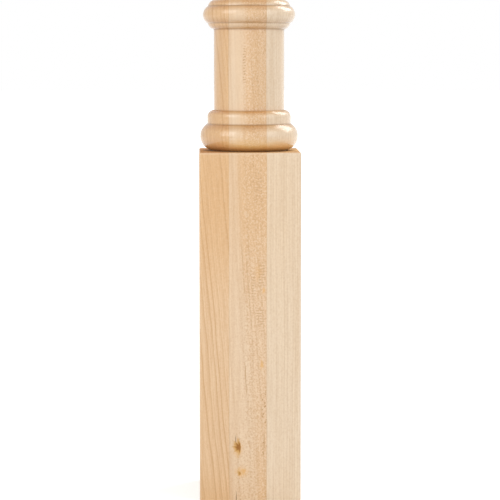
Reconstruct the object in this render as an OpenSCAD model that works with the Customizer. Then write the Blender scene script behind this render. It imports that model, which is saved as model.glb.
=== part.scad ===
// Newel post: a square block below, and above its flat shoulder a turned section with a torus and
// ring at the foot, a plain round shaft, and a collar of one torus between two beads, cut off flat.
// The blank is glued up from three boards side by side, so every board runs the full height and
// shows on the block and on the turning alike. Each board is one solid.
// Millimetres, +Z up. The origin is the centre of the underside, on the axis of the turning.
// -Y is the front, and +X is to the right of it.

/* [Block] */
// Side of the square block
block_side = 76.2; // [75:0.1:120]
// Height of the block, from the floor to its shoulder
block_h = 263; // [60:0.5:900]
// Radius of the eased edges of the block
edge_r = 0.9; // [0.3:0.1:3]

/* [Foot of the turning] */
// Diameter over the large torus that sits on the shoulder
foot_torus_d = 74.3; // [72:0.1:75]
// Radius of the round of that torus, seen in section
foot_torus_r = 11; // [10.5:0.05:11.5]
// Diameter of the ring above the torus
ring_d = 63.5; // [60:0.1:65]
// Height of the ring, from the crease above the torus to the shaft
ring_h = 10.4; // [8:0.1:20]

/* [Shaft] */
// Diameter of the shaft
shaft_d = 53.3; // [50:0.1:56]
// Length of the shaft that shows, from the ring to the collar
shaft_h = 60.9; // [20:0.1:600]

/* [Collar] */
// Diameter over the torus in the middle of the collar
collar_torus_d = 69.8; // [67:0.1:72]
// Radius of the round of that torus, seen in section
collar_torus_r = 7.55; // [7:0.05:8]
// Radius of the round of the two beads, seen in section
bead_r = 5.7; // [5.5:0.05:6]
// Distance of each bead's round above or below the middle of the collar
bead_offset = 5.45; // [5:0.05:5.5]

/* [Boards] */
// Thickness of the left board in the block
left_board_w = 22.2; // [15:0.1:25]
// Thickness of the middle board
middle_board_w = 28.2; // [20:0.1:35]

/* [Hidden] */
$fn = 128;

// How far the foot's torus stands out beyond the ring where the two meet
crease_ledge = 0.3;
// How far the neck under the foot's torus lies inside it
neck_inset = 8.8;
// How far the middle of each bead's round lies inside the shaft's wall
bead_inset = 1.1;
// How much of the upper bead's round is cut away by the flat top
top_cut = 0.2;
// How far the cutting shapes reach past the post
beyond = 10;

// Radii of the turning, and the distance from the axis to the middle of each round
shaft_r = shaft_d / 2;
ring_r = ring_d / 2;
ring_round = ring_r - shaft_r;
foot_torus_x = foot_torus_d / 2 - foot_torus_r;
neck_r = foot_torus_d / 2 - neck_inset;
collar_x = collar_torus_d / 2 - collar_torus_r;
bead_x = shaft_r - bead_inset;

// Heights of the turning. The foot's torus comes down to the shoulder of the block.
foot_torus_z = block_h + foot_torus_r;
crease_z = foot_torus_z + round_rise(foot_torus_r, ring_r + crease_ledge - foot_torus_x);
shaft_z = crease_z + ring_h;
collar_z = shaft_z + shaft_h + bead_offset + round_rise(bead_r, bead_inset);
top_z = collar_z + bead_offset + bead_r - top_cut;

// Glue lines between the boards, measured from the axis
left_glue_x = left_board_w - block_side / 2;
right_glue_x = left_glue_x + middle_board_w;

// Height of a round of radius r above its centre, at the distance dx out from that centre
function round_rise(r, dx) = sqrt(r * r - dx * dx);

// Rectangle with its corners rounded, centred
module eased_rectangle(w, h, r) {
    square([w, h - 2 * r], center = true);
    square([w - 2 * r, h], center = true);
    for (sx = [-1, 1], sy = [-1, 1])
        translate([sx * (w / 2 - r), sy * (h / 2 - r)]) circle(r = r);
}

// The block's side view drawn out through it: rounded at the shoulder, and carried on below the
// floor, so that the foot of the block stays square
module shoulder_prism() {
    rotate([90, 0, 0])
        linear_extrude(block_side + 2 * beyond, center = true)
            eased_rectangle(block_side, 2 * block_h, edge_r);
}

module block() {
    intersection() {
        linear_extrude(block_h) eased_rectangle(block_side, block_side, edge_r);
        shoulder_prism();
        rotate([0, 0, 90]) shoulder_prism();
    }
}

// A disc in the half section, from the axis out to r
module section_band(r, z_low, z_high) {
    translate([0, z_low]) square([r, z_high - z_low]);
}

// The torus on the shoulder: a round, with a narrow neck behind it that stands on the block
module foot_torus_section() {
    translate([foot_torus_x, foot_torus_z]) circle(r = foot_torus_r);
    section_band(foot_torus_x, foot_torus_z - foot_torus_r / 2, crease_z);
    section_band(neck_r, block_h - edge_r, foot_torus_z);
}

// The ring: a vertical band, rounded over at the top until it meets the shaft
module ring_section() {
    round_z = shaft_z - ring_round;
    section_band(ring_r, crease_z, round_z);
    intersection() {
        translate([shaft_r, round_z]) circle(r = ring_round);
        section_band(ring_r, round_z, shaft_z);
    }
}

// The collar: a torus between two beads, cut off flat just below the top of the upper bead
module collar_section() {
    intersection() {
        union() {
            translate([collar_x, collar_z]) circle(r = collar_torus_r);
            for (side = [-1, 1])
                translate([bead_x, collar_z + side * bead_offset]) circle(r = bead_r);
            section_band(bead_x, collar_z, top_z + beyond);
        }
        section_band(block_side, shaft_z, top_z);
    }
}

module turning() {
    rotate_extrude() {
        foot_torus_section();
        ring_section();
        section_band(shaft_r, crease_z, collar_z);
        collar_section();
    }
}

// What lies between two planes across the width
module between(x_low, x_high) {
    intersection() {
        children();
        translate([x_low, -block_side, -beyond])
            cube([x_high - x_low, 2 * block_side, top_z + 2 * beyond]);
    }
}

// A board of the blank: its share of the block and of the turning, in one solid
module board(x_low, x_high) {
    between(x_low, x_high) block();
    between(x_low, x_high) turning();
}

module left_board() {
    color("#E2BA8E") board(-block_side, left_glue_x);
}

module middle_board() {
    color("#E5C49E") board(left_glue_x, right_glue_x);
}

module right_board() {
    color("#E9D1B2") board(right_glue_x, block_side);
}

left_board();
middle_board();
right_board();
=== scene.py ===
"""Newel post glued up from three maple boards: a square block with a turned section above it.

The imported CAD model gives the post's outline, which three smooth meshes repeat, one for each
board. Each board has its own solid maple, a material in three dimensions, so the growth rings run
through from the front to the sides, the shoulder, the top and the underside.
Lengths are in millimetres and become metres where a mesh, a lamp or the camera is made.
"""

import math

import bmesh
import bpy
from mathutils import Matrix, Vector, noise


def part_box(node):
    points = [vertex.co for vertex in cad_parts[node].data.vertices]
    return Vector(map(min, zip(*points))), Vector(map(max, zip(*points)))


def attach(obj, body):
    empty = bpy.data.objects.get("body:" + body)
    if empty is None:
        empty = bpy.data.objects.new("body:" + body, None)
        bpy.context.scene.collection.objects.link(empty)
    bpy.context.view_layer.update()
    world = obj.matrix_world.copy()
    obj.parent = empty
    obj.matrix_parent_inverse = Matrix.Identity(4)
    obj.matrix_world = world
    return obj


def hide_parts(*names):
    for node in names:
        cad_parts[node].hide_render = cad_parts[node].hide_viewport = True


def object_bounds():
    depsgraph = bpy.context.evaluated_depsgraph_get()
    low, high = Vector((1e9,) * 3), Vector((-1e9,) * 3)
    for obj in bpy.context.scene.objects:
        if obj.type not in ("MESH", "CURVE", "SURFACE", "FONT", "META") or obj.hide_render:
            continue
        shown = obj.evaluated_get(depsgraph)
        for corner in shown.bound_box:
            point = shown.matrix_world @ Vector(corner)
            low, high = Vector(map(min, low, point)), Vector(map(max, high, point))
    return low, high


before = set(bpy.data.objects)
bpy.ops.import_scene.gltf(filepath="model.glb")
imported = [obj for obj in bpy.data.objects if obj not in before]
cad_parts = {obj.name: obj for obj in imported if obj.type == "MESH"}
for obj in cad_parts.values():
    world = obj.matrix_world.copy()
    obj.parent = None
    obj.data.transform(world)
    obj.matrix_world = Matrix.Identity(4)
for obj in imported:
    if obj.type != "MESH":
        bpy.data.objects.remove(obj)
cad_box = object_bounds()

MM = 0.001

# ---------------------------------------------------------------- sizes of the post

BLOCK_SIDE = (cad_box[1].x - cad_box[0].x) / MM
HALF = BLOCK_SIDE / 2
TOP_Z = cad_box[1].z / MM
LEFT_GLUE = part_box("middle_board")[0].x / MM
RIGHT_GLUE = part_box("middle_board")[1].x / MM

# The driving sizes of the CAD model: D is a diameter, R a radius and H a height
BLOCK_H = 263.0
EDGE_R = 0.9
FOOT_TORUS_D = 74.3
FOOT_TORUS_R = 11.0
NECK_INSET = 8.8
RING_D = 63.5
RING_H = 10.4
CREASE_LEDGE = 0.3
SHAFT_D = 53.3
SHAFT_H = 60.9
COLLAR_TORUS_D = 69.8
COLLAR_TORUS_R = 7.55
BEAD_R = 5.7
BEAD_OFFSET = 5.45
BEAD_INSET = 1.1

# Distances from the axis that follow from them
FOOT_TORUS_X = FOOT_TORUS_D / 2 - FOOT_TORUS_R
NECK_R = FOOT_TORUS_D / 2 - NECK_INSET
RING_R = RING_D / 2
SHAFT_R = SHAFT_D / 2
COLLAR_X = COLLAR_TORUS_D / 2 - COLLAR_TORUS_R
BEAD_X = SHAFT_R - BEAD_INSET

# How far a sawn edge is broken, at the underside and round the flat top
SOFT_EDGE = 0.3

# Defects in the front face: the middle of each in width and height, its half sizes and its depth.
# A knot's core is the strength of the dark brown in its middle.
KNOT = dict(x=-8.9, z=40.9, half_w=3.9, half_h=3.9, depth=0.24, core=1.0)
PIN_KNOT = dict(x=-7.9, z=20.8, half_w=1.5, half_h=1.6, depth=0.14, core=0.45)
SHAKE = dict(x=-11.0, z=47.2, half_w=0.24, half_h=2.2, depth=0.16)
CHECK = dict(x=-10.6, z=1.6, half_w=0.24, half_h=4.2, depth=0.22)


# ---------------------------------------------------------------- outline of the turning

ARC_STEP = 0.4
SAME_POINT = 1e-4


def rise(radius, out):
    """Height of a round above its centre, at the distance out from that centre."""
    return math.sqrt(radius**2 - out**2)


def arc(centre, radius, start, end):
    """Points along a round from one angle to another, in degrees, about ARC_STEP apart."""
    count = max(2, round(abs(math.radians(end - start)) * radius / ARC_STEP))
    angles = [math.radians(start + (end - start) * i / count) for i in range(count + 1)]
    return [(centre[0] + radius * math.cos(a), centre[1] + radius * math.sin(a)) for a in angles]


def line(start, end, step):
    """Points along a straight stretch, about step apart."""
    count = max(1, math.ceil(math.dist(start, end) / step))
    across, up = end[0] - start[0], end[1] - start[1]
    shares = [i / count for i in range(count + 1)]
    return [(start[0] + across * share, start[1] + up * share) for share in shares]


def outer_meeting(centre_a, radius_a, centre_b, radius_b):
    """The point furthest from the axis where two rounds cross."""
    gap = math.dist(centre_a, centre_b)
    along = (gap**2 + radius_a**2 - radius_b**2) / (2 * gap)
    off = math.sqrt(radius_a**2 - along**2)
    ux = (centre_b[0] - centre_a[0]) / gap
    uz = (centre_b[1] - centre_a[1]) / gap
    middle = (centre_a[0] + ux * along, centre_a[1] + uz * along)
    return max((middle[0] + side * uz * off, middle[1] - side * ux * off) for side in (-1, 1))


def angle_at(centre, point):
    """Direction of a point from a centre, in degrees."""
    return math.degrees(math.atan2(point[1] - centre[1], point[0] - centre[0]))


# Heights of the turning, and the middles of its rounds as (distance from the axis, height)
FOOT = (FOOT_TORUS_X, BLOCK_H + FOOT_TORUS_R)
NECK_TOP = (NECK_R, FOOT[1] - rise(FOOT_TORUS_R, NECK_R - FOOT_TORUS_X))
CREASE_X = RING_R + CREASE_LEDGE
CREASE_Z = FOOT[1] + rise(FOOT_TORUS_R, CREASE_X - FOOT_TORUS_X)
SHAFT_Z = CREASE_Z + RING_H
RING_ROUND = RING_R - SHAFT_R
RING_TOP = (SHAFT_R, SHAFT_Z - RING_ROUND)
BEAD_RISE = rise(BEAD_R, SHAFT_R - BEAD_X)
COLLAR = (COLLAR_X, SHAFT_Z + SHAFT_H + BEAD_OFFSET + BEAD_RISE)
BEADS = [(BEAD_X, COLLAR[1] + side * BEAD_OFFSET) for side in (-1, 1)]
COLLAR_CREASES = [outer_meeting(bead, BEAD_R, COLLAR, COLLAR_TORUS_R) for bead in BEADS]
SHAFT_TOP = (SHAFT_R, BEADS[0][1] - BEAD_RISE)
BRIM_ANGLE = math.degrees(math.asin((TOP_Z - SOFT_EDGE - BEADS[1][1]) / BEAD_R))

# Painted shade in the creases of the turning, where shade falls: height, reach up and down, and
# strength
PAINTED_CREASE_SHADES = [
    (CREASE_Z, 1.1, 0.70),
    (CREASE_Z - 1.5, 2.8, 0.12),
    (SHAFT_Z, 0.9, 0.42),
    (SHAFT_TOP[1], 0.9, 0.36),
    (COLLAR_CREASES[0][1], 0.9, 0.38),
    (COLLAR_CREASES[1][1], 1.1, 0.80),
]


def turned_outline():
    """The half section of the turning from the shoulder up to the edge of the flat top."""
    crease = (CREASE_X, CREASE_Z)
    low_crease, high_crease = COLLAR_CREASES
    stretches = [
        line((NECK_R, BLOCK_H), NECK_TOP, 0.3),
        arc(FOOT, FOOT_TORUS_R, angle_at(FOOT, NECK_TOP), angle_at(FOOT, crease)),
        line(crease, (RING_R, CREASE_Z), 0.3),
        line((RING_R, CREASE_Z), (RING_R, RING_TOP[1]), 0.8),
        arc(RING_TOP, RING_ROUND, 0, 90),
        line((SHAFT_R, SHAFT_Z), SHAFT_TOP, 2.0),
        arc(BEADS[0], BEAD_R, angle_at(BEADS[0], SHAFT_TOP), angle_at(BEADS[0], low_crease)),
        arc(COLLAR, COLLAR_TORUS_R, angle_at(COLLAR, low_crease), angle_at(COLLAR, high_crease)),
        arc(BEADS[1], BEAD_R, angle_at(BEADS[1], high_crease), BRIM_ANGLE),
    ]
    points = [stretches[0][0]]
    for stretch in stretches:
        points += [p for p in stretch if math.dist(p, points[-1]) > SAME_POINT]
    # Two more points break the edge between the upper bead and the flat top
    brim_x = points[-1][0]
    points.append((brim_x - 0.55 * SOFT_EDGE, TOP_Z - 0.25 * SOFT_EDGE))
    points.append((brim_x - 1.4 * SOFT_EDGE, TOP_Z))
    return points


# ---------------------------------------------------------------- outline of the block


def stations(stops):
    """Positions along a line, given as (start, step) pairs and a last end."""
    out = []
    for (start, step), (end, _) in zip(stops, stops[1:]):
        count = max(1, round((end - start) / step))
        out += [start + (end - start) * i / count for i in range(count)]
    return out + [stops[-1][0]]


# Where the points of the block lie: across the front, across the other faces, and up the height.
# The steps are finest round the knots and the cracks.
FLAT = HALF - EDGE_R
FRONT_STOPS = [(-FLAT, 1.3), (-13.8, 0.14), (-6.4, 0.3), (-3.4, 1.3), (FLAT, None)]
SIDE_STOPS = [(-FLAT, 1.6), (FLAT, None)]
BLOCK_ROW_STOPS = [
    (SOFT_EDGE, 0.3), (11.0, 1.0), (18.0, 0.3), (24.0, 1.0), (34.5, 0.3), (51.5, 2.0),
    (60.0, 6.0), (BLOCK_H - EDGE_R, None),
]
CORNER_STEPS = 6
ARRIS_STEPS = 5
SHARPEST_CORNER = 0.12

# Rings of points across the flats, as shares: out from the middle of the underside, in over the
# shoulder to the neck, and in to the middle of the flat top
UNDERSIDE_RINGS = (0.25, 0.5, 0.75, 0.93)
SHOULDER_RINGS = (0.2, 0.45, 0.7, 0.88)
TOP_RINGS = (0.93, 0.7, 0.45, 0.2)


def square_ring(z, inset=0.0):
    """Points round the block at one height, drawn in by inset, from the front left corner."""
    corner_r = max(EDGE_R - inset, SHARPEST_CORNER)
    reach = HALF - inset
    stretch = (reach - corner_r) / FLAT
    ring = []
    for side in range(4):
        turn = Matrix.Rotation(math.radians(90 * side), 3, "Z")
        for across in stations(FRONT_STOPS if side == 0 else SIDE_STOPS):
            ring.append(turn @ Vector((across * stretch, -reach, z)))
        centre = Vector((reach - corner_r, -(reach - corner_r), z))
        for i in range(1, CORNER_STEPS):
            angle = math.radians(-90 + 90 * i / CORNER_STEPS)
            ring.append(turn @ (centre + corner_r * Vector((math.cos(angle), math.sin(angle), 0))))
    return ring


def round_ring(guide, radius, z):
    """Points round a circle, in the same directions as the points of a guide ring."""
    flat = [Vector((p.x, p.y, 0)).normalized() * radius for p in guide]
    return [Vector((p.x, p.y, z)) for p in flat]


def out_from(spot, x, z):
    """0 in the middle of a defect, 1 at its rim."""
    return math.hypot((x - spot["x"]) / spot["half_w"], (z - spot["z"]) / spot["half_h"])


def hollow(knot, x, z):
    """Depth of a knot's hollow, which has a flat bottom."""
    return knot["depth"] * min(1.0, 1.6 * max(0.0, 1.0 - out_from(knot, x, z) ** 2))


def slit(crack, x, z):
    """Depth of a crack, which is sharp at the bottom."""
    return crack["depth"] * max(0.0, 1.0 - out_from(crack, x, z))


def dent(x, z):
    """Depth of the front face's defects at one place: the knots' hollows and two fine cracks."""
    rough = 0.5 + 0.5 * noise.noise(Vector((x * 1.3, 0, z * 0.9)))
    x += 0.35 * noise.noise(Vector((0, 7.0, z * 0.5)))
    depth = hollow(KNOT, x, z) * (0.45 + 0.8 * rough)
    depth += hollow(PIN_KNOT, x, z) * (0.5 + 0.7 * rough)
    depth += slit(SHAKE, x, z)
    depth += slit(CHECK, x, z)
    return depth


def carve(ring):
    """Sinks the defects into the points that lie on the front face."""
    for p in ring:
        if abs(p.y + HALF) < 1e-3 and abs(p.x) < FLAT:
            p.y += dent(p.x, p.z)
    return ring


def post_rings():
    """Every ring of points from the middle of the underside to the middle of the flat top."""
    base = square_ring(0.0, SOFT_EDGE)
    rings = [[p * share for p in base] for share in UNDERSIDE_RINGS]
    rings.append(carve(base))
    rings += [carve(square_ring(z)) for z in stations(BLOCK_ROW_STOPS)]
    arris_z = BLOCK_H - EDGE_R
    for i in range(1, ARRIS_STEPS + 1):
        angle = math.radians(90 * i / ARRIS_STEPS)
        up, inward = EDGE_R * math.sin(angle), EDGE_R * (1 - math.cos(angle))
        rings.append(square_ring(arris_z + up, inward))
    outline = turned_outline()
    shoulder, neck = rings[-1], round_ring(base, *outline[0])
    for share in SHOULDER_RINGS:
        rings.append([a.lerp(b, share) for a, b in zip(shoulder, neck)])
    rings += [round_ring(base, radius, z) for radius, z in outline]
    for share in TOP_RINGS:
        rings.append(round_ring(base, outline[-1][0] * share, TOP_Z))
    return rings


def whole_post():
    """A closed mesh of the whole post, in metres."""
    bm = bmesh.new()
    rings = [[bm.verts.new(p * MM) for p in ring] for ring in post_rings()]
    for low, high in zip(rings, rings[1:]):
        for i in range(len(low)):
            j = (i + 1) % len(low)
            bm.faces.new((low[i], low[j], high[j], high[i]))
    for ring, z, flip in ((rings[0], 0.0, True), (rings[-1], TOP_Z * MM, False)):
        middle = bm.verts.new((0, 0, z))
        for i in range(len(ring)):
            j = (i + 1) % len(ring)
            corners = (ring[j], ring[i], middle) if flip else (ring[i], ring[j], middle)
            bm.faces.new(corners)
    return bm


def cut_at(bm, x, keep_right):
    """Saws the mesh across at x, keeps one side and closes the cut."""
    everything = bm.verts[:] + bm.edges[:] + bm.faces[:]
    bmesh.ops.bisect_plane(
        bm, geom=everything, dist=1e-7, plane_co=(x, 0, 0), plane_no=(1, 0, 0),
        clear_outer=not keep_right, clear_inner=keep_right,
    )
    rim = [e for e in bm.edges if len(e.link_faces) == 1]
    bmesh.ops.triangle_fill(bm, edges=rim, use_beauty=True, normal=(1, 0, 0))


# Two faces that meet at more than this are shaded with an edge between them
SHARP_ANGLE = math.radians(32)


def board_mesh(name, x_low, x_high):
    """One board of the blank as a closed, smooth-shaded piece."""
    bm = whole_post()
    if x_low is not None:
        cut_at(bm, x_low * MM, True)
    if x_high is not None:
        cut_at(bm, x_high * MM, False)
    bmesh.ops.recalc_face_normals(bm, faces=bm.faces[:])
    for face in bm.faces:
        face.smooth = True
    for edge in bm.edges:
        edge.smooth = len(edge.link_faces) == 2 and edge.calc_face_angle() < SHARP_ANGLE
    mesh = bpy.data.meshes.new(name)
    bm.to_mesh(mesh)
    bm.free()
    piece = bpy.data.objects.new(name, mesh)
    bpy.context.scene.collection.objects.link(piece)
    return piece


# ---------------------------------------------------------------- maple


class Shader:
    """Short calls that build a node tree, named s below. All but node return an output socket."""

    def __init__(self, material):
        material.use_nodes = True
        self.tree = material.node_tree
        self.tree.nodes.clear()

    def node(self, kind, values=None, **settings):
        """A new node with its settings, and each input set to a value or linked to a socket."""
        made = self.tree.nodes.new(kind)
        for key, value in settings.items():
            setattr(made, key, value)
        for key, value in (values or {}).items():
            if isinstance(value, bpy.types.NodeSocket):
                self.tree.links.new(value, made.inputs[key])
            else:
                made.inputs[key].default_value = value
        return made

    def math(self, operation, a, b=0.0):
        return self.node("ShaderNodeMath", {0: a, 1: b}, operation=operation).outputs[0]

    def add(self, a, b):
        return self.math("ADD", a, b)

    def sub(self, a, b):
        return self.math("SUBTRACT", a, b)

    def mul(self, a, b):
        return self.math("MULTIPLY", a, b)

    def step(self, value, low, high, to_low=0.0, to_high=1.0):
        """A smooth ramp from to_low at low to to_high at high."""
        ends = {"From Min": low, "From Max": high, "To Min": to_low, "To Max": to_high}
        made = self.node(
            "ShaderNodeMapRange", {"Value": value, **ends}, interpolation_type="SMOOTHSTEP"
        )
        return made.outputs["Result"]

    def combine(self, x, y, z):
        return self.node("ShaderNodeCombineXYZ", {0: x, 1: y, 2: z}).outputs[0]

    def stretch(self, place, rates):
        """A vector for a pattern that changes at its own rate along each axis, per mm."""
        return self.combine(*[self.mul(along, rate) for along, rate in zip(place, rates)])

    def length(self, a, b):
        """Length of a step of a along one axis and b along another."""
        return self.math("SQRT", self.add(self.mul(a, a), self.mul(b, b)))

    def noise(self, vector, detail=2.0, roughness=0.5):
        made = self.node(
            "ShaderNodeTexNoise",
            {"Vector": vector, "Scale": 1.0, "Detail": detail, "Roughness": roughness},
        )
        return made.outputs["Fac"]

    def cells(self, vector, scale):
        """Distance from the nearest of many scattered points."""
        made = self.node("ShaderNodeTexVoronoi", {"Vector": vector, "Scale": scale})
        return made.outputs["Distance"]

    def mix(self, factor, a, b, blend="MIX"):
        made = self.node(
            "ShaderNodeMix", {0: factor, 6: a, 7: b}, data_type="RGBA", blend_type=blend
        )
        return made.outputs[2]


def colour(r, g, b):
    """An opaque colour, in linear light."""
    return (r, g, b, 1.0)


def growth(s, place, spec):
    """The distance from the pith, in mm, bent a little by two noises, and the angle round it."""
    x, y, z = place
    above_middle = s.sub(z, TOP_Z / 2)
    dx = s.sub(s.sub(x, spec["pith"][0]), s.mul(above_middle, spec["lean"][0]))
    dy = s.sub(s.sub(y, spec["pith"][1]), s.mul(above_middle, spec["lean"][1]))
    seed = spec["seed"]
    broad = s.noise(s.combine(s.mul(x, 0.02), s.mul(y, 0.02), s.add(s.mul(z, 0.0075), seed)), 1.0)
    fine = s.noise(s.combine(s.mul(x, 0.16), s.mul(y, 0.16), s.add(s.mul(z, 0.028), seed)), 2.0)
    distance = s.add(s.length(dx, dy), s.mul(s.sub(broad, 0.5), spec["bend"]))
    distance = s.add(distance, s.mul(s.sub(fine, 0.5), spec["waver"]))
    return distance, s.math("ARCTAN2", dy, dx)


def ring_lines(s, distance, z, spec, finer=1.0):
    """0 in the early wood, rising to 1 at the thin late wood line of each ring."""
    crowd = s.noise(s.combine(s.mul(distance, 0.11), spec["seed"], s.mul(z, 0.001)), 1.0)
    turns = s.add(s.mul(distance, finer / spec["ring"]), s.mul(crowd, spec["uneven"]))
    within = s.math("FRACT", turns)
    shade = s.mul(s.step(within, spec["onset"], 0.9), s.step(within, 0.92, 1.0, 1.0, 0.0))
    each = s.noise(s.combine(s.mul(s.math("FLOOR", turns), 3.7), spec["seed"], 0.0), 0.0)
    return s.mul(shade, s.step(each, 0.34, 0.62, 0.12, 1.0))


def near(s, value, place, inner, outer):
    """1 within inner of a place along one axis, falling to 0 at outer."""
    return s.step(s.math("ABSOLUTE", s.sub(value, place)), inner, outer, 1.0, 0.0)


def tone_along(s, z, stops):
    """A share that changes up the board, from (height, share) stops."""
    ramp = s.node("ShaderNodeValToRGB", {0: s.mul(z, 1 / TOP_Z)})
    ramp.color_ramp.interpolation = "EASE"
    points = ramp.color_ramp.elements
    while len(points) < len(stops):
        points.new(0.5)
    for point, (height, share) in zip(points, stops):
        point.position = height / TOP_Z
        point.color = colour(share, share, share)
    return ramp.outputs[0]


KNOT_CORE = colour(0.325, 0.118, 0.0)
KNOT_BROWN = colour(0.60, 0.31, 0.055)
KNOT_HALO = colour(0.78, 0.44, 0.15)
CRACK_BROWN = colour(0.20, 0.085, 0.02)
FLECK_BROWN = colour(0.50, 0.275, 0.11)
GLUE_BROWN = colour(0.52, 0.30, 0.13)
SAPWOOD = colour(0.89, 0.72, 0.53)
END_GRAIN_AND_BOUNCE = colour(0.76, 0.56, 0.32)
# Painted shade for the creases of the turning and the gap under the foot's torus
PAINTED_SHADE_BROWN = colour(0.27, 0.135, 0.045)
# Painted warm bounce light from the shoulder, on the underside of the foot's torus
PAINTED_BOUNCE_GOLD = colour(0.97, 0.61, 0.20)

# Stains round the knots and orange blotches: place, half sizes and strength on the front face
STAINS = [
    dict(x=-9.6, z=39.6, half_w=4.6, half_h=7.0, share=0.62),
    dict(x=-6.4, z=22.0, half_w=6.0, half_h=5.2, share=0.65),
    dict(x=-4.9, z=22.8, half_w=1.9, half_h=2.1, share=0.85),
    dict(x=10.1, z=159.7, half_w=1.6, half_h=2.6, share=0.75),
    dict(x=8.6, z=104.0, half_w=1.9, half_h=4.6, share=0.80),
    dict(x=6.0, z=174.0, half_w=3.5, half_h=8.0, share=0.30),
]

# Single dark strands in the middle board: where each crosses its middle height, and its lean
STRANDS = [
    dict(x=-1.2, z=160.0, lean=-0.075, half_h=34.0, width=0.26, share=0.50),
    dict(x=-5.2, z=172.0, lean=-0.060, half_h=26.0, width=0.24, share=0.38),
    dict(x=1.6, z=118.0, lean=-0.050, half_h=22.0, width=0.24, share=0.30),
    dict(x=-3.3, z=93.0, lean=-0.050, half_h=13.0, width=0.26, share=0.80),
    dict(x=10.9, z=45.0, lean=0.0, half_h=9.0, width=0.28, share=0.60),
]

# Ladders: stacks of short ray flecks that lie across the grain
RUNG_GAP = 2.1
LADDERS = [
    dict(x=-4.2, z=328.0, half_w=1.4, half_h=19.0, share=0.75),
    dict(x=8.6, z=172.0, half_w=3.0, half_h=11.0, share=0.60),
    dict(x=2.4, z=164.0, half_w=2.0, half_h=12.0, share=0.50),
    dict(x=7.4, z=140.0, half_w=3.6, half_h=9.0, share=0.50),
    dict(x=6.5, z=236.0, half_w=3.2, half_h=14.0, share=0.40),
]

# The brown flecks of the pith crowd in a column, and the pale streak has its middle here
FLECK_COLUMN_X = RIGHT_GLUE - 2.0
FLECK_COLUMN_Z = 57.0
SAPWOOD_X = -10.0

# Half the width of a glue line at full strength and in all, and its strength
GLUE_HALF_WIDTHS = (0.06, 0.42)
GLUE_SHARE = 0.28

# What shows only on the front fades out between these two places along y
FRONT_SKIN = (-22.0, -12.0)


def front_skin(s, y):
    """1 near the front of the post, for what shows only there."""
    return s.step(y, *FRONT_SKIN, 1.0, 0.0)


def spot_offsets(s, x, z, spot):
    """How far a place lies to the right of a spot and above it, in its half sizes."""
    across = s.mul(s.sub(x, spot["x"]), 1 / spot["half_w"])
    above = s.mul(s.sub(z, spot["z"]), 1 / spot["half_h"])
    return across, above


def spot_distance(s, x, z, spot):
    """0 in the middle of a spot of the front face, 1 at its rim."""
    return s.length(*spot_offsets(s, x, z, spot))


def knot_distance(s, x, z, spot):
    """As spot_distance, but a leaf: cut off on the right, and drawn out in streaks to the left."""
    across, above = spot_offsets(s, x, z, spot)
    angle = s.math("ARCTAN2", above, s.sub(across, 0.4))
    streak = s.noise(s.combine(s.mul(angle, 1.9), spot["x"], spot["z"]), 2.0)
    out = s.mul(s.length(across, above), s.step(streak, 0.3, 0.7, 0.62, 1.5))
    return s.add(out, s.step(across, 0.30, 0.75, 0.0, 1.3))


def add_knots(s, base, place):
    """Stains, the two knots in their rings of colour, and the cracks above and below them."""
    x, y, z = place
    skin = front_skin(s, y)
    ragged = s.sub(s.noise(s.stretch(place, (0.9, 0.3, 0.5)), 3.0), 0.5)
    for stain in STAINS:
        out = s.add(spot_distance(s, x, z, stain), s.mul(ragged, 1.1))
        base = s.mix(s.mul(s.step(out, 0.1, 1.15, stain["share"], 0.0), skin), base, KNOT_HALO)
    for spot in (KNOT, PIN_KNOT):
        out = s.add(knot_distance(s, x, z, spot), s.mul(ragged, 0.5))
        base = s.mix(s.mul(s.step(out, 0.7, 1.5, 0.85, 0.0), skin), base, KNOT_BROWN)
        base = s.mix(s.mul(s.step(out, 0.35, 0.95, spot["core"], 0.0), skin), base, KNOT_CORE)
    for spot in (SHAKE, CHECK):
        out = s.add(spot_distance(s, x, z, spot), s.mul(ragged, 1.1))
        base = s.mix(s.mul(s.step(out, 0.6, 1.7, 0.85, 0.0), skin), base, CRACK_BROWN)
    return base


def add_strands(s, base, place):
    """Long thin dark strands, broken up along their length."""
    x, y, z = place
    skin = front_skin(s, y)
    broken = s.step(s.noise(s.combine(s.mul(x, 0.4), 0.0, s.mul(z, 0.22)), 2.0), 0.30, 0.50)
    sway = s.mul(s.sub(s.noise(s.combine(0.0, 0.0, s.mul(z, 0.03)), 1.0), 0.5), 1.6)
    for strand in STRANDS:
        above = s.sub(z, strand["z"])
        middle = s.add(s.mul(above, strand["lean"]), s.add(sway, strand["x"]))
        off = s.math("ABSOLUTE", s.sub(x, middle))
        across = s.step(off, 0.0, strand["width"] * 2.2, strand["share"], 0.0)
        along = near(s, z, strand["z"], strand["half_h"] * 0.6, strand["half_h"])
        amount = s.mul(s.mul(across, along), s.mul(skin, broken))
        base = s.mix(amount, base, FLECK_BROWN)
    return base


def add_ladders(s, base, place):
    """Ray flecks in stacks: short dashes across the grain, one over another."""
    x, y, z = place
    skin = front_skin(s, y)
    drift = s.noise(s.stretch(place, (0.4, 0.2, 0.3)), 1.0, 0.4)
    within = s.math("FRACT", s.add(s.mul(z, 1 / RUNG_GAP), s.mul(drift, 1.1)))
    kept = s.step(s.noise(s.stretch(place, (0.5, 0.3, 0.5)), 1.0), 0.34, 0.50)
    dashes = s.mul(s.mul(s.step(within, 0.22, 0.42), s.step(within, 0.55, 0.78, 1.0, 0.0)), kept)
    for ladder in LADDERS:
        across = near(s, x, ladder["x"], ladder["half_w"] * 0.6, ladder["half_w"])
        along = near(s, z, ladder["z"], ladder["half_h"] * 0.5, ladder["half_h"])
        amount = s.mul(s.mul(dashes, s.mul(across, along)), s.mul(skin, ladder["share"]))
        base = s.mix(amount, base, FLECK_BROWN)
    return base


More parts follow.
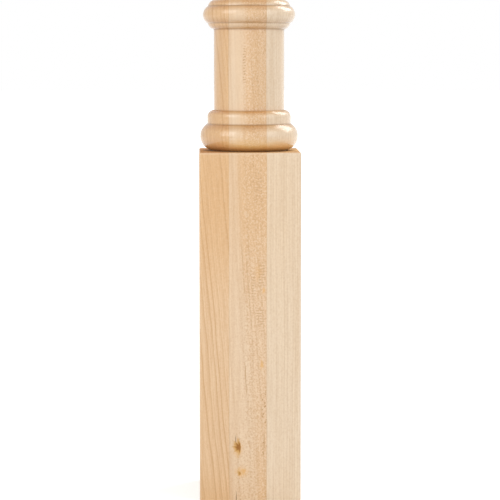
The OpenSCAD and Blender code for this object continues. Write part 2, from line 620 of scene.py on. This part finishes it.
def add_pith_flecks(s, base, place):
    """Small brown dots, crowded in a column near the right glue line and few elsewhere."""
    x, _, z = place
    dots = s.step(s.cells(s.stretch(place, (0.55, 0.55, 0.36)), 1.0), 0.16, 0.36, 1.0, 0.0)
    column = s.mul(near(s, x, FLECK_COLUMN_X, 1.0, 2.8), near(s, z, FLECK_COLUMN_Z, 22.0, 34.0))
    few = s.mul(s.step(x, -4.0, 3.0), s.step(z, 120.0, 190.0))
    patches = s.noise(s.stretch(place, (0.12, 0.12, 0.045)), 1.0)
    amount = s.math("MAXIMUM", column, s.mul(few, s.step(patches, 0.46, 0.60, 0.0, 0.45)))
    return s.mix(s.mul(s.mul(dots, amount), 0.90), base, FLECK_BROWN)


def add_sapwood(s, base, place):
    """A pale streak that runs up the left of the turning."""
    x, y, z = place
    sway = s.mul(s.sub(s.noise(s.stretch(place, (0.25, 0.25, 0.02)), 2.0), 0.5), 6.0)
    streak = s.mul(near(s, s.sub(x, sway), SAPWOOD_X, 1.5, 8.5), s.step(z, BLOCK_H, BLOCK_H + 20))
    return s.mix(s.mul(streak, s.mul(front_skin(s, y), 0.45)), base, SAPWOOD)


# Distances from the axis between which the painted shade in the gap under the foot's torus fades
# out, and between which the painted warm bounce light on the torus does
GAP_SHADE_FADES = (32.5, 37.3)
PAINTED_BOUNCE_FADES = (37.3, 38.0)


def painted_shade_share(s, z, radius):
    """How much painted shade a place gets in a turned crease or in the gap under the foot's torus.
    """
    painted_shade_so_far = 0.0
    for height, reach, share in PAINTED_CREASE_SHADES:
        here = s.mul(near(s, z, height, reach * 0.25, reach), share)
        painted_shade_so_far = s.math("MAXIMUM", painted_shade_so_far, here)
    # Painted shade in the gap under the foot's torus
    under_torus = s.mul(near(s, z, BLOCK_H, 0.2, 7.0), s.step(radius, *GAP_SHADE_FADES, 1.0, 0.0))
    return s.math("MAXIMUM", painted_shade_so_far, s.mul(under_torus, 0.84))


# How many thin lines there are to a growth ring, and how fast the rays change round the pith,
# per mm
THIN_LINES = 2.7
RAY_RATE = 1.7


def wood_patterns(s, place, spec):
    """The patterns of one board that its colour, relief and roughness share, by name."""
    x, _, z = place
    distance, turn = growth(s, place, spec)
    around = s.mul(turn, spec["ray_radius"])
    ray_rates = (RAY_RATE, spec["ray_width"], spec["ray_height"])
    rays = s.noise(s.stretch((around, distance, z), ray_rates), 1.0, 0.6)
    return dict(
        distance=distance,
        turn=turn,
        lines=ring_lines(s, distance, z, spec),
        thin_lines=ring_lines(s, distance, z, spec, THIN_LINES),
        rays=s.mul(s.sub(rays, 0.5), 2.0),
        ray_mask=spec["ray_mask"](s, x, z),
        lenses=s.cells(s.stretch(place, (1.5, 1.5, 0.62)), 5.0),
        fibres=s.noise(s.stretch(place, (1.5, 1.5, 0.07)), 3.0, 0.65),
        streaks=s.noise(s.stretch(place, (0.42, 0.42, 0.010)), 2.0, 0.6),
        ticks=s.noise(s.stretch(place, (1.1, 1.1, 0.42)), 1.0, 0.5),
        cloud=s.noise(s.stretch((distance, turn, z), (0.07, 2.0, 0.006)), 2.0, 0.5),
    )


def board_tone(s, z, wood, spec):
    """The broad colour of a board, before its grain."""
    base = s.mix(tone_along(s, z, spec["tone"]), spec["pale"], spec["deep"])
    base = s.mix(s.mul(s.step(wood["cloud"], 0.35, 0.65), spec["cloud"]), base, spec["deep"])
    for low, high, share in spec["pale_zones"]:
        inside = s.step(wood["distance"], low - 3, low + 3)
        outside = s.step(wood["distance"], high - 3, high + 3, 1.0, 0.0)
        base = s.mix(s.mul(s.mul(inside, outside), share), base, spec["shine"])
    return base


def add_grain(s, base, wood, spec):
    """Ring lines, flecks, fibres, streaks and rays."""
    base = s.mix(s.mul(wood["lines"], spec["line"]), base, spec["late"])
    base = s.mix(s.mul(wood["thin_lines"], spec["thin_line"]), base, spec["late"])
    flecks = s.step(wood["lenses"], 0.10, 0.30, 1.0, 0.0)
    base = s.mix(s.mul(flecks, spec["lens"]), base, spec["late"])
    for pattern, share in (("fibres", "fibre"), ("streaks", "streak"), ("ticks", "tick")):
        base = s.mix(s.mul(s.step(wood[pattern], 0.40, 0.64), spec[share]), base, spec["late"])
    ray_share = s.mul(wood["ray_mask"], spec["ray"])
    dark_rays = s.step(wood["rays"], 0.04, 0.34)
    pale_rays = s.step(wood["rays"], -0.34, -0.04, 1.0, 0.0)
    base = s.mix(s.mul(dark_rays, ray_share), base, spec["late"])
    return s.mix(s.mul(pale_rays, ray_share), base, spec["shine"])


def add_end_grain_and_bounce(s, base, normal_z):
    """Darker end grain where the surface cuts across the grain, on what faces up; on what faces
    down it is half as strong and is partly painted warm bounce light from the shoulder.
    """
    # On what faces down, the warm multiply is partly painted bounce light from the shoulder
    below = s.mul(s.step(normal_z, -0.9, -0.3, 1.0, 0.0), 0.5)
    end = s.math("MAXIMUM", s.step(normal_z, 0.26, 0.9), below)
    return s.mix(s.mul(end, 0.85), base, END_GRAIN_AND_BOUNCE, "MULTIPLY")


def add_painted_bounce_and_shade(s, base, place):
    """Painted warm bounce light on the underside of the foot's torus, stronger towards the right,
    and painted shade in the creases of the turning and the gap under the torus.
    """
    x, y, z = place
    radius = s.length(x, y)
    # Painted warm bounce light under the foot's torus, weaker on the left and stronger to the right
    under_torus = s.mul(near(s, z, BLOCK_H, 1.0, 13.0), s.step(radius, *PAINTED_BOUNCE_FADES, 1.0, 0.0))
    base = s.mix(s.mul(under_torus, s.step(x, -26.0, -8.0, 0.1, 0.55)), base, PAINTED_BOUNCE_GOLD)
    # Painted shade in the creases and in the gap under the foot's torus
    return s.mix(s.mul(painted_shade_share(s, z, radius), 0.62), base, PAINTED_SHADE_BROWN)


def arris_share(s, place):
    """1 on the edges of the block, upright and round the shoulder."""
    x, y, z = place
    from_middle = [s.math("ABSOLUTE", axis) for axis in (x, y)]
    by_side, by_front = [s.step(away, HALF - 1.6, HALF - 0.2) for away in from_middle]
    by_top = near(s, z, BLOCK_H, 0.4, 1.8)
    shoulder = s.mul(by_top, s.math("MAXIMUM", by_side, by_front))
    return s.math("MAXIMUM", s.mul(by_side, by_front), shoulder)


BUMP_HEIGHT = 0.06
BUMP_STRENGTH = 0.55


def wood_relief(s, place, wood, turned):
    """Fine bumps: fibres, rays and rings, tool marks on the turning and sanding on the block."""
    tool_marks = s.noise(s.combine(0.0, s.mul(wood["turn"], 0.4), s.mul(place[2], 2.4)), 2.0, 0.7)
    sanding = s.noise(s.stretch(place, (5.0, 5.0, 0.25)), 2.0, 0.7)
    relief = s.add(s.mul(wood["fibres"], 0.5), s.mul(wood["rays"], s.mul(wood["ray_mask"], 0.16)))
    relief = s.sub(relief, s.mul(wood["lines"], 0.25))
    relief = s.add(relief, s.mul(turned, s.mul(tool_marks, 0.35)))
    relief = s.add(relief, s.mul(s.sub(1.0, turned), s.mul(sanding, 0.35)))
    bump = {"Strength": BUMP_STRENGTH, "Distance": BUMP_HEIGHT * MM, "Height": relief}
    return s.node("ShaderNodeBump", bump).outputs[0]


# Roughness of the block, from one smudge to another, and what each kind of place adds to it
BLOCK_ROUGHNESS = (0.36, 0.44)
TURNING_ADDS = -0.21
FLAT_END_ADDS = 0.40
ARRIS_ADDS = -0.05


def wood_roughness(s, place, wood, turned, flat, arris):
    """Satin, in smudges: glossier on the turning and the worn edges, duller on the flat ends."""
    smudge = s.noise(s.stretch(place, (0.05, 0.05, 0.02)), 2.0)
    rough = s.step(smudge, 0.3, 0.7, *BLOCK_ROUGHNESS)
    rough = s.add(rough, s.mul(s.sub(wood["fibres"], 0.5), 0.08))
    for where, change in ((turned, TURNING_ADDS), (flat, FLAT_END_ADDS), (arris, ARRIS_ADDS)):
        rough = s.add(rough, s.mul(where, change))
    return rough


def maple(name, spec):
    """Solid maple for one board: its colour, relief and roughness."""
    material = bpy.data.materials.new(name)
    s = Shader(material)
    where = s.node("ShaderNodeTexCoord").outputs
    in_mm = s.node("ShaderNodeVectorMath", {0: where["Object"], "Scale": 1 / MM}, operation="SCALE")
    place = tuple(s.node("ShaderNodeSeparateXYZ", {0: in_mm.outputs[0]}).outputs)
    x, _, z = place
    normal_z = s.node("ShaderNodeSeparateXYZ", {0: where["Normal"]}).outputs[2]
    turned = s.step(z, BLOCK_H, BLOCK_H + 0.5)
    flat = s.step(s.math("ABSOLUTE", normal_z), 0.90, 0.99)
    arris = arris_share(s, place)
    wood = wood_patterns(s, place, spec)

    base = add_grain(s, board_tone(s, z, wood, spec), wood, spec)
    for extra in spec["extras"]:
        base = extra(s, base, place)
    for glue in spec["glue"]:
        base = s.mix(s.mul(near(s, x, glue, *GLUE_HALF_WIDTHS), GLUE_SHARE), base, GLUE_BROWN)
    # Darker end grain with painted bounce on undersides, then painted bounce light and painted
    # shade on the turning
    base = add_painted_bounce_and_shade(s, add_end_grain_and_bounce(s, base, normal_z), place)
    base = s.mix(s.mul(arris, 0.35), base, spec["shine"])

    rough = wood_roughness(s, place, wood, turned, flat, arris)
    relief = wood_relief(s, place, wood, turned)
    shader = s.node(
        "ShaderNodeBsdfPrincipled",
        {"Base Color": base, "Roughness": rough, "Normal": relief, "IOR": 1.55},
    )
    out = s.node("ShaderNodeOutputMaterial")
    s.tree.links.new(shader.outputs[0], out.inputs[0])
    return material


def even_rays(s, x, z):
    """The same ray figure all over the board."""
    return 1.0


def middle_rays(s, x, z):
    """Ray figure that fades to the left, and lower down reaches as far as the knots."""
    upper = s.step(x, -10.0, -1.0, 0.30, 1.0)
    lower = s.mul(s.step(z, 45.0, 75.0, 1.0, 0.0), s.step(x, -14.0, -8.0, 0.3, 0.9))
    return s.math("MAXIMUM", upper, lower)


# The wood of each board, in mm and shares from 0 to 1:
# seed, pith, lean, bend and waver: where the heart of the tree lies and how the rings wander
# ring, uneven and onset: the width of a ring, its changes, and where its late wood starts
# pale, deep, late and shine: the colours; tone: the share of deep up the height
# line, thin_line, cloud, fibre, streak, tick, lens, pale_zones: the strength of each pattern
# ray, ray_radius, ray_width, ray_height, ray_mask: the ray figure and where it shows
# extras and glue: what else lies on the board, and its glue lines
LEFT = dict(
    seed=3.1, pith=(-78.0, -12.0), lean=(-0.085, 0.01), bend=8.0, waver=1.9,
    ring=3.5, uneven=0.9, onset=0.45, line=0.54, thin_line=0.24,
    pale=colour(0.855, 0.615, 0.39), deep=colour(0.80, 0.505, 0.255), late=colour(0.58, 0.31, 0.12),
    shine=colour(0.88, 0.68, 0.48),
    tone=[(0, 0.75), (40, 0.18), (120, 0.06), (230, 0.98), (376, 0.70)],
    cloud=0.25, fibre=0.16, streak=0.18, tick=0.08, lens=0.15, pale_zones=(),
    ray=0.12, ray_radius=60.0, ray_width=0.3, ray_height=0.7,
    ray_mask=even_rays,
    extras=(), glue=(LEFT_GLUE,),
)
MIDDLE = dict(
    seed=11.7, pith=(64.0, -46.0), lean=(-0.06, 0.005), bend=6.0, waver=0.7,
    ring=5.2, uneven=1.3, onset=0.55, line=0.20, thin_line=0.12,
    pale=colour(0.85, 0.635, 0.435), deep=colour(0.785, 0.50, 0.26), late=colour(0.56, 0.31, 0.125),
    shine=SAPWOOD,
    tone=[(0, 0.75), (40, 0.30), (120, 0.14), (230, 0.84), (376, 0.65)],
    cloud=0.2, fibre=0.14, streak=0.14, tick=0.12, lens=0.30, pale_zones=((70.0, 90.0, 0.42),),
    ray=0.37, ray_radius=60.0, ray_width=0.75, ray_height=0.80,
    ray_mask=middle_rays,
    extras=(add_sapwood, add_pith_flecks, add_strands, add_ladders, add_knots),
    glue=(LEFT_GLUE, RIGHT_GLUE),
)
RIGHT = dict(
    seed=23.4, pith=(-46.0, -64.0), lean=(0.0, 0.012), bend=3.0, waver=0.35,
    ring=1.9, uneven=1.2, onset=0.3, line=0.24, thin_line=0.0,
    pale=colour(0.88, 0.715, 0.53), deep=colour(0.80, 0.58, 0.36), late=colour(0.60, 0.40, 0.225),
    shine=colour(0.88, 0.74, 0.58),
    tone=[(0, 0.15), (40, 0.05), (120, 0.16), (230, 0.36), (290, 0.14), (376, 0.08)],
    cloud=0.12, fibre=0.16, streak=0.22, tick=0.10, lens=0.16, pale_zones=(),
    ray=0.16, ray_radius=70.0, ray_width=0.5, ray_height=0.6,
    ray_mask=even_rays,
    extras=(), glue=(RIGHT_GLUE,),
)


# ---------------------------------------------------------------- the boards in place

BOARDS = [
    ("left_board", "maple_left", None, LEFT_GLUE, LEFT),
    ("middle_board", "maple_middle", LEFT_GLUE, RIGHT_GLUE, MIDDLE),
    ("right_board", "maple_right", RIGHT_GLUE, None, RIGHT),
]
for node_name, slot, x_low, x_high, spec in BOARDS:
    board = board_mesh(node_name + "_wood", x_low, x_high)
    board.data.materials.append(maple(slot, spec))
    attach(board, "root")
    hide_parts(node_name)


# ---------------------------------------------------------------- studio


def shows_background(tree):
    """1 for camera, glossy and transmission rays: they see the background, and light doesn't."""
    path = tree.nodes.new("ShaderNodeLightPath")
    total = None
    for kind in ("Is Camera Ray", "Is Glossy Ray", "Is Transmission Ray"):
        if total is None:
            total = path.outputs[kind]
            continue
        both = tree.nodes.new("ShaderNodeMath")
        both.operation = "MAXIMUM"
        tree.links.new(total, both.inputs[0])
        tree.links.new(path.outputs[kind], both.inputs[1])
        total = both.outputs[0]
    return total


WORLD_LIGHT = 0.53
WHITE = colour(1, 1, 1)


def make_world():
    """Even soft light from all round, behind which the background is white."""
    world = bpy.data.worlds.new("studio")
    bpy.context.scene.world = world
    world.use_nodes = True
    tree = world.node_tree
    tree.nodes.clear()
    soft = tree.nodes.new("ShaderNodeBackground")
    soft.inputs["Color"].default_value = WHITE
    soft.inputs["Strength"].default_value = WORLD_LIGHT
    white = tree.nodes.new("ShaderNodeBackground")
    white.inputs["Color"].default_value = WHITE
    mix = tree.nodes.new("ShaderNodeMixShader")
    out = tree.nodes.new("ShaderNodeOutputWorld")
    tree.links.new(shows_background(tree), mix.inputs[0])
    tree.links.new(soft.outputs[0], mix.inputs[1])
    tree.links.new(white.outputs[0], mix.inputs[2])
    tree.links.new(mix.outputs[0], out.inputs[0])


# In metres: the floor's side, and how far out its glow rises from the first value to the second
FLOOR_SIZE = 30.0
FLOOR_PAINT = colour(0.68, 0.68, 0.68)
FLOOR_GLOW = (0.54, 0.95)
GLOW_REACH = (0.25, 1.6)


def make_floor():
    """A pale floor that shows white to the camera, with the post's soft shadow on it."""
    bm = bmesh.new()
    bmesh.ops.create_grid(bm, x_segments=1, y_segments=1, size=FLOOR_SIZE / 2)
    mesh = bpy.data.meshes.new("floor")
    bm.to_mesh(mesh)
    bm.free()
    floor = bpy.data.objects.new("floor", mesh)
    bpy.context.scene.collection.objects.link(floor)
    material = bpy.data.materials.new("pale_floor")
    s = Shader(material)
    where = s.node("ShaderNodeTexCoord").outputs["Object"]
    away = s.node("ShaderNodeVectorMath", {0: where}, operation="LENGTH").outputs["Value"]
    paint = s.node("ShaderNodeBsdfDiffuse", {"Color": FLOOR_PAINT})
    strength = s.step(away, *GLOW_REACH, *FLOOR_GLOW)
    glow = s.node("ShaderNodeEmission", {"Color": WHITE, "Strength": strength})
    both = s.node("ShaderNodeAddShader")
    mix = s.node("ShaderNodeMixShader", {0: shows_background(s.tree)})
    out = s.node("ShaderNodeOutputMaterial")
    s.tree.links.new(paint.outputs[0], both.inputs[0])
    s.tree.links.new(glow.outputs[0], both.inputs[1])
    s.tree.links.new(paint.outputs[0], mix.inputs[1])
    s.tree.links.new(both.outputs[0], mix.inputs[2])
    s.tree.links.new(mix.outputs[0], out.inputs[0])
    floor.data.materials.append(material)


# Each lamp's name, azimuth and elevation in degrees, distance and size in metres, and watts
LAMPS = [
    ("left", -55, 26, 2.0, 1.25, 13.2),
    ("front", -8, 16, 2.0, 1.5, 5.9),
    ("right", 52, 23, 2.0, 1.4, 9.2),
    ("back_right", 125, 38, 1.5, 0.8, 10),
]
LAMP_AIM = Vector((0, 0, TOP_Z * MM * 0.6))


def make_lamp(name, azimuth, elevation, distance, size, watts):
    """A soft square lamp that faces the post from a direction: 0 is the front, 90 the right."""
    turn, lift = math.radians(azimuth), math.radians(elevation)
    level = math.cos(lift)
    away = Vector((math.sin(turn) * level, -math.cos(turn) * level, math.sin(lift)))
    lamp = bpy.data.lights.new(name, "AREA")
    lamp.shape = "SQUARE"
    lamp.size = size
    lamp.energy = watts
    holder = bpy.data.objects.new(name, lamp)
    holder.location = LAMP_AIM + away * distance
    holder.rotation_euler = away.to_track_quat("Z", "Y").to_euler()
    bpy.context.scene.collection.objects.link(holder)


# The camera stands a little to the left of the front and looks slightly down, through a long lens
CAMERA_DISTANCE = 1.560
CAMERA_HEIGHT = 0.340
CAMERA_TURN = math.radians(-1.375)
CAMERA_TILT = math.radians(5.615)
CAMERA_SHIFT = 0.0007
CAMERA_LENS = 147.4


def make_camera():
    """The camera, turned about the axis of the post."""
    camera = bpy.data.cameras.new("camera")
    camera.lens = CAMERA_LENS
    camera.sensor_width = 36.0
    camera.clip_end = 100.0
    holder = bpy.data.objects.new("camera", camera)
    turn = Matrix.Rotation(CAMERA_TURN, 3, "Z")
    holder.location = turn @ Vector((CAMERA_SHIFT, -CAMERA_DISTANCE, CAMERA_HEIGHT))
    holder.rotation_euler = (math.radians(90) - CAMERA_TILT, 0.0, CAMERA_TURN)
    bpy.context.scene.collection.objects.link(holder)
    bpy.context.scene.camera = holder


make_world()
make_floor()
for lamp in LAMPS:
    make_lamp(*lamp)
make_camera()

bpy.context.scene.view_settings.view_transform = "Standard"
